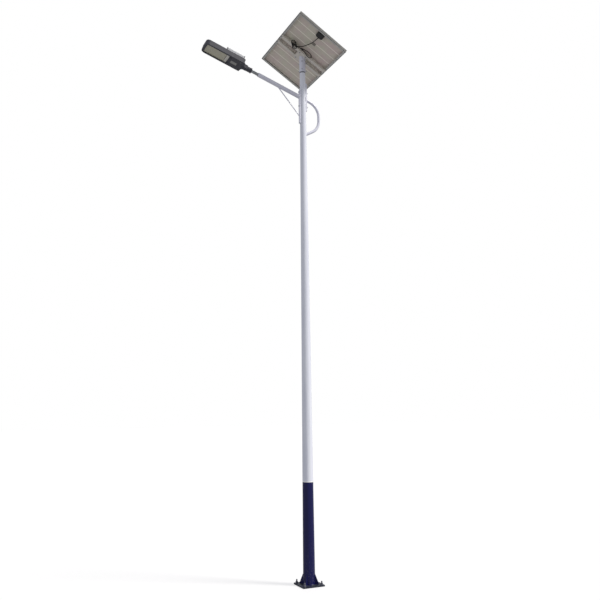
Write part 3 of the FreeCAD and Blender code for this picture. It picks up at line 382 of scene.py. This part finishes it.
def makePoleEnamel(values):
    material, tree, shader, where = startMaterial("poleEnamel", {
        "IOR": 1.5, "Specular IOR Level": 0.3, "Coat Weight": 0.05, "Coat Roughness": 0.12})
    height = addNode(tree, "ShaderNodeSeparateXYZ", {"Vector": where}).outputs[2]

    # both paints, with run marks
    long = addNode(tree, "ShaderNodeMapping", {
        "Vector": where, "Scale": (1, 1, values["streakStretch"])}).outputs[0]
    streak = addNode(tree, "ShaderNodeTexNoise", {
        "Vector": long, "Scale": perSize(values["streakSize"]), "Detail": 5})
    share = addNode(tree, "ShaderNodeMapRange", {
        "Value": streak.outputs[0], "From Min": values["streakFrom"], "From Max": noiseHigh}).outputs[0]
    white = addNode(tree, "ShaderNodeMix", {
        blend: share, colourA: hexColour(values["white"]), colourB: hexColour(values["whiteShade"])},
        data_type="RGBA")
    navy = addNode(tree, "ShaderNodeMix", {
        blend: share, colourA: hexColour(values["navy"]), colourB: hexColour(values["navyShade"])},
        data_type="RGBA")

    # navy up to the line, then a band of painted highlight, then white
    line = values["line"]
    overLine = addNode(tree, "ShaderNodeMapRange", {
        "Value": height, "From Min": line - values["lineBlur"], "From Max": line + values["lineBlur"]})
    highlightTop = line + values["highlightHeight"]
    overHighlight = addNode(tree, "ShaderNodeMapRange", {
        "Value": height, "From Min": highlightTop - values["highlightBlur"], "From Max": highlightTop + values["highlightBlur"]})
    upper = addNode(tree, "ShaderNodeMix", {
        blend: overHighlight.outputs[0], colourA: hexColour(values["bead"]), colourB: white.outputs[2]},
        data_type="RGBA")
    paint = addNode(tree, "ShaderNodeMix", {
        blend: overLine.outputs[0], colourA: navy.outputs[2], colourB: upper.outputs[2]}, data_type="RGBA")

    # splash dust, thinning out with height
    splash = addNode(tree, "ShaderNodeTexNoise", {
        "Vector": where, "Scale": perSize(values["splashSize"]), "Detail": 8, "Roughness": 0.7})
    near = addNode(tree, "ShaderNodeMapRange", {
        "Value": height, "From Min": values["plateTop"], "From Max": values["dustTop"],
        "To Min": values["dustLow"], "To Max": values["dustHigh"]})
    spots = addNode(tree, "ShaderNodeMapRange", {
        "Value": splash.outputs[0], "From Min": values["splashFrom"], "From Max": values["splashFull"]})
    dust = addNode(tree, "ShaderNodeMath", {0: spots.outputs[0], 1: near.outputs[0]}, operation="MULTIPLY")
    dusty = addNode(tree, "ShaderNodeMix", {
        blend: dust.outputs[0], colourA: paint.outputs[2], colourB: hexColour(values["dust"])},
        data_type="RGBA")

    # painted shade: a dark ring on the pole under the sleeve's rim
    ringFoot = values["rim"] - values["rimHeight"]
    ring = addNode(tree, "ShaderNodeMapRange", {
        "Value": height, "From Min": ringFoot, "From Max": ringFoot + values["rimBlur"],
        "To Max": values["rimShadeShare"]})
    ringed = addNode(tree, "ShaderNodeMix", {
        blend: ring.outputs[0], colourA: dusty.outputs[2], colourB: hexColour(values["rimShade"])},
        data_type="RGBA")
    tree.links.new(ringed.outputs[2], shader.inputs["Base Color"])

    # orange peel
    peel = addNode(tree, "ShaderNodeTexNoise", {
        "Vector": where, "Scale": perSize(values["peelSize"]), "Detail": 2})
    low, high = values["rough"]
    rough = addNode(tree, "ShaderNodeMapRange", {
        "Value": peel.outputs[0], "From Min": noiseLow, "From Max": noiseHigh,
        "To Min": low, "To Max": high})
    tree.links.new(rough.outputs[0], shader.inputs["Roughness"])
    bump = addNode(tree, "ShaderNodeBump", {
        "Height": peel.outputs[0], "Strength": 0.25, "Distance": values["peelDepth"] / 1000})
    tree.links.new(bump.outputs[0], shader.inputs["Normal"])
    return material


poleEnamel = makePoleEnamel(poleEnamelValues)

# laminated polymer backsheet: warm grey film over dark cells, paler where it spans the gaps between
# them; the gaps are 3 mm and are drawn up to 9 mm wide with soft edges, as the film blurs them.
# Its upper face, seen through glass, is white.
backsheetValues = dict(
    overCell="#d0cebd", overCellShade="#d2c2be", overGap="#fbf6ea", upper="#d9dadc",
    pitchAcross=0.12, pitchDown=0.159, gapWidth=0.009, gapCore=0.35, gapFade=0.75, downShare=0.1,
    blotch=170, middle=0.0096, weave=1.6)


def makeBacksheet(values):
    material, tree, shader, where = startMaterial("backsheetFilm", {"IOR": 1.5}, panelPlace)
    axes = addNode(tree, "ShaderNodeSeparateXYZ", {"Vector": where}).outputs
    masks = []
    for axis, pitch, shift, strength in ((1, values["pitchAcross"], values["pitchAcross"] / 2, 1),
                                         (0, values["pitchDown"], 0, values["downShare"])):
        moved = addNode(tree, "ShaderNodeMath", {0: axes[axis], 1: shift}, operation="ADD")
        away = addNode(tree, "ShaderNodeMath", {0: moved.outputs[0], 1: pitch / 2}, operation="PINGPONG")
        masks.append(addNode(tree, "ShaderNodeMapRange", {
            "Value": away.outputs[0], "From Min": values["gapWidth"] * values["gapCore"],
            "From Max": values["gapWidth"] * values["gapFade"], "To Min": strength, "To Max": 0}).outputs[0])
    gap = addNode(tree, "ShaderNodeMath", {0: masks[0], 1: masks[1]}, operation="MAXIMUM")
    cloud = addNode(tree, "ShaderNodeTexNoise", {
        "Vector": where, "Scale": perSize(values["blotch"]), "Detail": 4})
    share = addNode(tree, "ShaderNodeMapRange", {
        "Value": cloud.outputs[0], "From Min": 0.35, "From Max": 0.65})
    film = addNode(tree, "ShaderNodeMix", {
        blend: share.outputs[0], colourA: hexColour(values["overCell"]),
        colourB: hexColour(values["overCellShade"])}, data_type="RGBA")
    lower = addNode(tree, "ShaderNodeMix", {
        blend: gap.outputs[0], colourA: film.outputs[2], colourB: hexColour(values["overGap"])},
        data_type="RGBA")
    top = addNode(tree, "ShaderNodeMath", {0: axes[2], 1: values["middle"]}, operation="GREATER_THAN")
    both = addNode(tree, "ShaderNodeMix", {
        blend: top.outputs[0], colourA: lower.outputs[2], colourB: hexColour(values["upper"])},
        data_type="RGBA")
    addFinish(tree, shader, where, dict(
        patch="#dcd8ce", patchShare=0.2, patchSize=90, rough=(0.45, 0.6),
        grainSize=values["weave"], grainDepth=0.05, bump=0.25), both.outputs[2])
    return material


# polycrystalline silicon: blue-black crystals, three silver bus bars down each cell, and printed
# fingers across, whose real 2 mm pitch is drawn at 4 mm; core and fade are where a line starts to
# go and is gone, for a bus bar in shares of its width
cellValues = dict(
    dark="#0c1636", light="#1b2d5e", silver="#b4bac2", crystal=14, pitchAcross=0.12,
    busPitch=0.039, busWidth=0.0016, busCore=0.45, busFade=0.6,
    fingerPitch=0.004, fingerCore=0.0003, fingerFade=0.0007, fingerShare=0.22)


def makeSilicon(values):
    material, tree, shader, where = startMaterial("polySilicon", {
        "IOR": 1.5, "Coat Weight": 1, "Coat Roughness": 0.05}, panelPlace)
    axes = addNode(tree, "ShaderNodeSeparateXYZ", {"Vector": where}).outputs
    crystals = addNode(tree, "ShaderNodeTexVoronoi", {"Vector": where, "Scale": perSize(values["crystal"])})
    tone = addNode(tree, "ShaderNodeSeparateColor", {"Color": crystals.outputs["Color"]})
    base = addNode(tree, "ShaderNodeMix", {
        blend: tone.outputs[0], colourA: hexColour(values["dark"]), colourB: hexColour(values["light"])},
        data_type="RGBA")

    # the distance from the nearest bus bar, then from the nearest finger
    pitch = values["pitchAcross"]
    inCell = addNode(tree, "ShaderNodeMath", {0: axes[1], 1: pitch / 2}, operation="ADD")
    wrapped = addNode(tree, "ShaderNodeMath", {0: inCell.outputs[0], 1: pitch, 2: 0}, operation="WRAP")
    fromMiddle = addNode(tree, "ShaderNodeMath", {0: wrapped.outputs[0], 1: pitch / 2}, operation="SUBTRACT")
    away = addNode(tree, "ShaderNodeMath", {
        0: fromMiddle.outputs[0], 1: values["busPitch"] / 2}, operation="PINGPONG")
    bus = addNode(tree, "ShaderNodeMapRange", {
        "Value": away.outputs[0], "From Min": values["busWidth"] * values["busCore"],
        "From Max": values["busWidth"] * values["busFade"], "To Min": 1, "To Max": 0})
    ripple = addNode(tree, "ShaderNodeMath", {0: axes[0], 1: values["fingerPitch"] / 2}, operation="PINGPONG")
    finger = addNode(tree, "ShaderNodeMapRange", {
        "Value": ripple.outputs[0], "From Min": values["fingerCore"], "From Max": values["fingerFade"],
        "To Min": values["fingerShare"], "To Max": 0})
    lines = addNode(tree, "ShaderNodeMath", {0: bus.outputs[0], 1: finger.outputs[0]}, operation="MAXIMUM")
    colour = addNode(tree, "ShaderNodeMix", {
        blend: lines.outputs[0], colourA: base.outputs[2], colourB: hexColour(values["silver"])},
        data_type="RGBA")
    tree.links.new(colour.outputs[2], shader.inputs["Base Color"])
    rough = addNode(tree, "ShaderNodeMapRange", {"Value": tone.outputs[1], "To Min": 0.25, "To Max": 0.4})
    tree.links.new(rough.outputs[0], shader.inputs["Roughness"])
    return material


# anodised aluminium extrusion: satin, with long die lines along each member, and painted shade as a dark band
# along its outer edges and outer walls
frameValues = dict(
    base="#c4c5c2", shade="#b6b7b4", edge="#4a4b4b", halfWidth=0.3375, halfLength=0.5675,
    edgeWidth=0.007, edgeBlur=0.002, marks=14, grain=1.2)


def makeFrameMetal(name, stretch, values):
    material, tree, shader, where = startMaterial(name, {"Metallic": 0.4}, panelPlace)
    axes = addNode(tree, "ShaderNodeSeparateXYZ", {"Vector": where}).outputs
    # the dark edge colour within edgeWidth of the outer edges is painted shade
    rims = []
    for axis, half in ((0, values["halfWidth"]), (1, values["halfLength"])):
        size = addNode(tree, "ShaderNodeMath", {0: axes[axis]}, operation="ABSOLUTE")
        inner = half - values["edgeWidth"]
        rims.append(addNode(tree, "ShaderNodeMapRange", {
            "Value": size.outputs[0], "From Min": inner, "From Max": inner + values["edgeBlur"]}).outputs[0])
    rim = addNode(tree, "ShaderNodeMath", {0: rims[0], 1: rims[1]}, operation="MAXIMUM")
    spread = addNode(tree, "ShaderNodeMapping", {"Vector": where, "Scale": stretch}).outputs[0]
    lines = addNode(tree, "ShaderNodeTexNoise", {
        "Vector": spread, "Scale": perSize(values["marks"]), "Detail": 5})
    metal = addNode(tree, "ShaderNodeMix", {
        blend: lines.outputs[0], colourA: hexColour(values["base"]), colourB: hexColour(values["shade"])},
        data_type="RGBA")
    both = addNode(tree, "ShaderNodeMix", {
        blend: rim.outputs[0], colourA: metal.outputs[2], colourB: hexColour(values["edge"])},
        data_type="RGBA")
    addFinish(tree, shader, where, dict(
        stretch=stretch, patch="#8f8e89", patchShare=0.25, patchSize=40,
        grainSize=values["grain"], grainDepth=0.04, bump=0.2, rough=(0.34, 0.46)), both.outputs[2])
    return material


# low-iron rolled glass: clear, with a faint pebble that softens reflections
glassValues = dict(tint="#f2f7f6", pebble=3, depth=0.02)


def makePanelGlass(values):
    material, tree, shader, where = startMaterial("rolledGlass", {
        "Base Color": hexColour(values["tint"]), "Roughness": 0.04, "IOR": 1.52,
        "Transmission Weight": 1}, panelPlace)
    pebble = addNode(tree, "ShaderNodeTexNoise", {
        "Vector": where, "Scale": perSize(values["pebble"]), "Detail": 1})
    bump = addNode(tree, "ShaderNodeBump", {
        "Height": pebble.outputs[0], "Strength": 0.2, "Distance": values["depth"] / 1000})
    tree.links.new(bump.outputs[0], shader.inputs["Normal"])
    return material


# toughened glass, sand blasted inside: milky and a little green, and the chips show faintly through;
# a dark seam crosses it, seamAt metres along the lamp, with a pale strip on the neck's side of it
lensValues = dict(
    milk="#bcbab0", milkShade="#c2bfa0", clear=0.88, streak=38, grain=1.2,
    seamAt=0.330, seamWidth=0.006, seam="#5c5b56", strip="#dcdbd2")


def makeLensGlass(values):
    material, tree, shader, where = startMaterial("frostedGlass", {
        "IOR": 1.52, "Coat Weight": 0.6, "Coat Roughness": 0.05, "Alpha": values["clear"]}, lampPlace)
    along = addNode(tree, "ShaderNodeSeparateXYZ", {"Vector": where}).outputs[0]
    cloud = addNode(tree, "ShaderNodeTexNoise", {
        "Vector": where, "Scale": perSize(values["streak"]), "Detail": 5})
    milk = addNode(tree, "ShaderNodeMix", {
        blend: cloud.outputs[0], colourA: hexColour(values["milk"]), colourB: hexColour(values["milkShade"])},
        data_type="RGBA")
    pastSeam = addNode(tree, "ShaderNodeMath", {
        0: along, 1: values["seamAt"] + values["seamWidth"]}, operation="GREATER_THAN")
    pastStrip = addNode(tree, "ShaderNodeMath", {0: along, 1: values["seamAt"]}, operation="GREATER_THAN")
    ended = addNode(tree, "ShaderNodeMix", {
        blend: pastStrip.outputs[0], colourA: hexColour(values["strip"]), colourB: hexColour(values["seam"])},
        data_type="RGBA")
    both = addNode(tree, "ShaderNodeMix", {
        blend: pastSeam.outputs[0], colourA: ended.outputs[2], colourB: milk.outputs[2]}, data_type="RGBA")
    addFinish(tree, shader, where, dict(
        patch="#8b8f86", patchShare=0.15, patchSize=50,
        grainSize=values["grain"], grainDepth=0.03, bump=0.2, rough=(0.18, 0.3)), both.outputs[2])
    return material


anodisedLongSides = makeFrameMetal("anodisedLongSides", (1, 0.02, 1), frameValues)
anodisedShortSides = makeFrameMetal("anodisedShortSides", (0.02, 1, 1), frameValues)
backsheetFilm = makeBacksheet(backsheetValues)
polySilicon = makeSilicon(cellValues)
rolledGlass = makePanelGlass(glassValues)
frostedGlass = makeLensGlass(lensValues)
print("patterned materials made")

# which material goes on which CAD nodes
dress = [
    (poleEnamel, ["pole_shaft"]),
    (plateEnamel, ["base_plate"]),
    (navyEnamel, ["base_gussets"]),
    (whitePowderCoat, ["arm_post_front", "arm_post_back", "lamp_arm", "stay_rod", "tail_tube", "sleeve_tube",
                       "sleeve_nuts"]),
    (galvanisedSteel, ["arm_spigot"]),
    (weatheredZinc, ["anchor_bolts", "anchor_washers", "anchor_nuts"]),
    (zincPlate, ["post_bolts", "post_nuts", "sleeve_set_bolts", "frame_bolts", "head_bolts", "bracket_nuts"]),
    (rolledZinc, ["rail_near", "rail_far", "head_plate"]),
    (anodisedLongSides, ["frame_high", "frame_low"]),
    (anodisedShortSides, ["frame_near", "frame_far"]),
    (millAluminium, ["corner_keys"]),
    (backsheetFilm, ["backsheet"]),
    (rolledGlass, ["panel_glass"]),
    (polySilicon, ["solar_cells"]),
    (agedLabel, ["panel_label"]),
    (blackAbs, ["junction_box", "junction_lid", "bypass_diodes", "charge_controller"]),
    (cableJacket, ["cable_feed", "cable_coil", "cable_lead"]),
    (blackNylon, ["cable_gland", "cable_tie"]),
    (siliconeSeal, ["cable_grommet", "lens_gasket", "door_seal"]),
    (darkPowderCoat, ["lamp_housing", "driver_door", "battery_caps"]),
    (frostedGlass, ["lens_plate"]),
    (stainlessSteel, ["lens_screws", "clamp_screws", "hinge_pins", "battery_screws", "cap_screws",
                      "door_screws"]),
    (boardMask, ["led_board"]),
    (chipPhosphor, ["led_chips"]),
    (brushedAluminium, ["battery_case"]),
    (shrinkWrap, ["battery_cells"]),
    (greenMask, ["battery_board"]),
    (blankLabel, ["door_label"])]

for finish, names in dress:
    for name in names:
        for i in range(len(nodes[name].data.materials)):
            nodes[name].data.materials[i] = finish
undressed = sorted(set(nodes) - {name for finish, names in dress for name in names})
print("nodes dressed, left plain:", undressed)
panelCable.data.materials.append(cableJacket)


# new pieces

def addPiece(name, mesh, body, materials):
    for face in mesh.faces:
        face.smooth = True
    bmesh.ops.recalc_face_normals(mesh, faces=mesh.faces)
    data = bpy.data.meshes.new(name)
    mesh.to_mesh(data)
    mesh.free()
    for material in materials:
        data.materials.append(material)
    thing = bpy.data.objects.new(name, data)
    bpy.context.scene.collection.objects.link(thing)
    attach(thing, body)
    return thing


# weld beads: a rippled fillet of metal at each joint of the steelwork. Heights and radii are the
# part's own; the runs start and stop short of the corners they would bury.
welds = dict(
    footRadius=0.0655, footHeight=0.0175, footBead=0.0045, footSides=10, footSteps=200,
    ripple=0.0006, ripplePitch=0.006, gussetBead=0.0026, armBead=0.0019, swell=0.16, swellStep=2.1,
    plateTop=0.016, gussetFoot=0.105, gussetHalf=0.004, gussetTop=0.112, footGap=0.004, riseGap=0.006,
    poleBase=0.065, poleTop=0.0325, poleHeight=6.0, tailRadius=0.017, tailAxisHeight=5.0531,
    tailSlope=0.5774, postFace=0.0491, postHalf=0.015, armRadius=0.024, armWidthShare=0.96,
    postSpans=((-1, 5.206, 5.614), (1, 5.37, 5.707)),
    footParts=14, riseParts=30, tailParts=48, armParts=12, postParts=60, closedUnder=0.004)


def poleRadius(z):
    share = (z - welds["plateTop"]) / (welds["poleHeight"] - welds["plateTop"])
    return welds["poleBase"] + (welds["poleTop"] - welds["poleBase"]) * share


def makeFootWeld(values):
    mesh = bmesh.new()
    bmesh.ops.create_circle(mesh, segments=values["footSides"], radius=values["footBead"],
                            matrix=Matrix.Translation((values["footRadius"], 0, values["footHeight"]))
                            @ Matrix.Rotation(math.pi / 2, 4, "X"))
    bmesh.ops.spin(mesh, geom=mesh.verts[:] + mesh.edges[:], cent=(0, 0, 0), axis=(0, 0, 1),
                   angle=2 * math.pi, steps=values["footSteps"], use_merge=True)
    for vertex in mesh.verts:
        around = math.atan2(vertex.co.y, vertex.co.x) * values["footRadius"] / values["ripplePitch"]
        vertex.co.z += values["ripple"] * math.sin(around * 2 * math.pi)
    return addPiece("footWeld", mesh, "pole", [navyEnamel])


def makeWeldRuns(name, runs, bead, values, body, material):
    data = bpy.data.curves.new(name, "CURVE")
    data.dimensions = "3D"
    data.bevel_depth = 1  # each point's radius is the bead's own
    data.bevel_resolution = 3
    data.use_fill_caps = True
    for points in runs:
        spline = data.splines.new("POLY")
        spline.points.add(len(points) - 1)
        for i, (spot, point) in enumerate(zip(spline.points, points)):
            spot.co = (*point, 1)
            spot.radius = bead * (1 + values["swell"] * math.sin(i * values["swellStep"]))
        endGap = (Vector(points[0]) - Vector(points[-1])).length
        spline.use_cyclic_u = endGap < values["closedUnder"]
        spline.use_smooth = True
    data.materials.append(material)
    thing = bpy.data.objects.new(name, data)
    bpy.context.scene.collection.objects.link(thing)
    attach(thing, body)
    return thing


def lineOf(a, b, parts):
    return [Vector(a).lerp(Vector(b), i / parts) for i in range(parts + 1)]


def gussetRuns(values):
    # along the foot and up the pole, on both sides of each of the four gussets
    runs = []
    low, top = values["plateTop"], values["gussetTop"]
    for quarter in range(4):
        turn = Matrix.Rotation(math.radians(45 + 90 * quarter), 3, "Z")
        for side in (-1, 1):
            y = side * values["gussetHalf"]
            foot = lineOf((values["footRadius"] + values["footGap"], y, low),
                          (values["gussetFoot"], y, low), values["footParts"])
            rise = lineOf((values["poleBase"], y, low + values["riseGap"]),
                          (poleRadius(top), y, top), values["riseParts"])
            runs += [[turn @ p for p in foot], [turn @ p for p in rise]]
    return runs


def tailRun(values):
    # the ring where the sloping tail tube meets the pole
    run = []
    for i in range(values["tailParts"]):
        angle = 2 * math.pi * i / values["tailParts"]
        y = values["tailRadius"] * math.sin(angle)
        offset = values["tailRadius"] * math.cos(angle) / math.cos(math.atan(values["tailSlope"]))
        z = values["tailAxisHeight"] + offset
        x = math.sqrt(poleRadius(z) ** 2 - y ** 2)
        run.append((x, y, z + x * values["tailSlope"]))
    return run


def armRuns(values):
    # over and under the arm, across the front post's face
    runs = []
    rise = math.radians(lampAxes["riseDegrees"])
    middle = lampAxes["crossing"][2] + values["postFace"] * math.tan(rise)
    for side in (-1, 1):
        edge = []
        for i in range(values["armParts"] + 1):
            y = values["postHalf"] * (i / (values["armParts"] / 2) - 1) * values["armWidthShare"]
            reach = math.sqrt(values["armRadius"] ** 2 - y ** 2) / math.cos(rise)
            edge.append((-values["postFace"], y, middle + side * reach))
        runs.append(edge)
    return runs


def postRuns(values):
    # down both edges of the front and back posts
    runs = []
    for x, low, high in values["postSpans"]:
        for side in (-1, 1):
            y = side * values["postHalf"]
            run = []
            for k in range(values["postParts"] + 1):
                z = low + (high - low) * k / values["postParts"]
                run.append((x * math.sqrt(poleRadius(z) ** 2 - y ** 2), y, z))
            runs.append(run)
    return runs


makeFootWeld(welds)
makeWeldRuns("gussetWelds", gussetRuns(welds), welds["gussetBead"], welds, "pole", navyEnamel)
makeWeldRuns("armWelds", [tailRun(welds)] + armRuns(welds) + postRuns(welds), welds["armBead"], welds,
             "pole", whitePowderCoat)
print("welds made")

# LED packages in five rows of twelve under the lens: a square rim with a flat dome below it
ledPackage = dict(
    side=0.0035, rimHeight=0.0006, domeRadius=0.00135, domeFlatness=0.28, domeSides=10, domeRings=6,
    boardUnder=0.0004, columns=12, rows=5, pitchAlong=0.02075, pitchAcross=0.0276, middle=0.4375)


def makeLedPackages(values):
    mesh = bmesh.new()
    for column in range(values["columns"]):
        for row in range(values["rows"]):
            x = values["middle"] + (column - (values["columns"] - 1) / 2) * values["pitchAlong"]
            y = (row - (values["rows"] - 1) / 2) * values["pitchAcross"]
            spot = lampPlace @ Matrix.Translation((x, y, values["boardUnder"]))
            low = spot @ Matrix.Translation((0, 0, -values["rimHeight"] / 2))
            scale = Matrix.Diagonal((values["side"], values["side"], values["rimHeight"], 1))
            bmesh.ops.create_cube(mesh, size=1, matrix=low @ scale)
            before = len(mesh.faces)
            dome = spot @ Matrix.Translation((0, 0, -values["rimHeight"]))
            bmesh.ops.create_uvsphere(mesh, u_segments=values["domeSides"], v_segments=values["domeRings"],
                                      radius=values["domeRadius"],
                                      matrix=dome @ Matrix.Diagonal((1, 1, values["domeFlatness"], 1)))
            mesh.faces.ensure_lookup_table()
            for i in range(before, len(mesh.faces)):
                mesh.faces[i].material_index = 1
    piece = addPiece("ledPackages", mesh, "lamp_head", [chipRim, chipPhosphor])
    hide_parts("led_chips")
    return piece


makeLedPackages(ledPackage)

# front glass, a hair clear of the cells under it
panelGlass = dict(length=1.1304, width=0.6704, low=0.0105, high=0.0135, edge=0.0004)


def makeFrontGlass(values):
    mesh = bmesh.new()
    middle = (values["low"] + values["high"]) / 2
    size = Matrix.Diagonal((values["width"], values["length"], values["high"] - values["low"], 1))
    bmesh.ops.create_cube(mesh, size=1, matrix=panelPlace @ Matrix.Translation((0, 0, middle)) @ size)
    bmesh.ops.bevel(mesh, geom=mesh.edges[:], offset=values["edge"], affect="EDGES", segments=1, profile=0.5,
                    material=-1)
    piece = addPiece("frontGlass", mesh, "panel_head", [rolledGlass])
    for face in piece.data.polygons:
        face.use_smooth = False
    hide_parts("panel_glass")


makeFrontGlass(panelGlass)
print("pieces made")


# floor and light

# soft studio: a pale sky, one wide sun, and matt floor paint. The floor and the sky look brighter
# to the camera than the light they give, so the room is near white and the lamp's underside isn't.
studio = dict(
    floor="#9b9b9d", floorShade="#989899", floorSize=160, floorSeen=0.63,
    sky="#f3f4fa", skyStrength=0.6, skySeen=1.0,
    key="#fffaf2", keyStrength=3.0, keyTurnDegrees=(48, 0, 50), keySpread=14)


def makeFloor(values):
    mesh = bmesh.new()
    bmesh.ops.create_grid(mesh, x_segments=1, y_segments=1, size=values["floorSize"] / 2)
    data = bpy.data.meshes.new("floor")
    mesh.to_mesh(data)
    mesh.free()
    material, tree, shader, where = startMaterial("floorPaint", {})
    addFinish(tree, shader, where, dict(
        base=values["floor"], shade=values["floorShade"], markSize=900,
        patch="#949496", patchShare=0.2, patchSize=400,
        grainSize=4, grainDepth=0.1, rough=(0.7, 0.85)))
    shader.inputs["Emission Color"].default_value = (1, 1, 1, 1)
    seen = addNode(tree, "ShaderNodeMath", {0: addNode(tree, "ShaderNodeLightPath").outputs[0],
                                            1: values["floorSeen"]}, operation="MULTIPLY")
    tree.links.new(seen.outputs[0], shader.inputs["Emission Strength"])
    data.materials.append(material)
    thing = bpy.data.objects.new("floor", data)
    bpy.context.scene.collection.objects.link(thing)


def makeSun(name, colour, strength, turn, spread):
    data = bpy.data.lights.new(name, "SUN")
    data.color = hexColour(colour)[:3]
    data.energy = strength
    data.angle = math.radians(spread)
    thing = bpy.data.objects.new(name, data)
    thing.rotation_euler = [math.radians(a) for a in turn]
    bpy.context.scene.collection.objects.link(thing)


def makeSky(values):
    world = bpy.data.worlds.new("studio")
    bpy.context.scene.world = world
    world.use_nodes = True
    tree = world.node_tree
    tree.nodes.clear()
    lit = addNode(tree, "ShaderNodeBackground", {0: hexColour(values["sky"]), 1: values["skyStrength"]})
    seen = addNode(tree, "ShaderNodeBackground", {0: (1, 1, 1, 1), 1: values["skySeen"]})
    path = addNode(tree, "ShaderNodeLightPath")
    both = addNode(tree, "ShaderNodeMixShader", {0: path.outputs[0], 1: lit.outputs[0], 2: seen.outputs[0]})
    addNode(tree, "ShaderNodeOutputWorld", {0: both.outputs[0]})


makeFloor(studio)
makeSky(studio)
makeSun("keyLight", studio["key"], studio["keyStrength"], studio["keyTurnDegrees"], studio["keySpread"])
bpy.context.scene.view_settings.view_transform = "Standard"
print("studio lit")
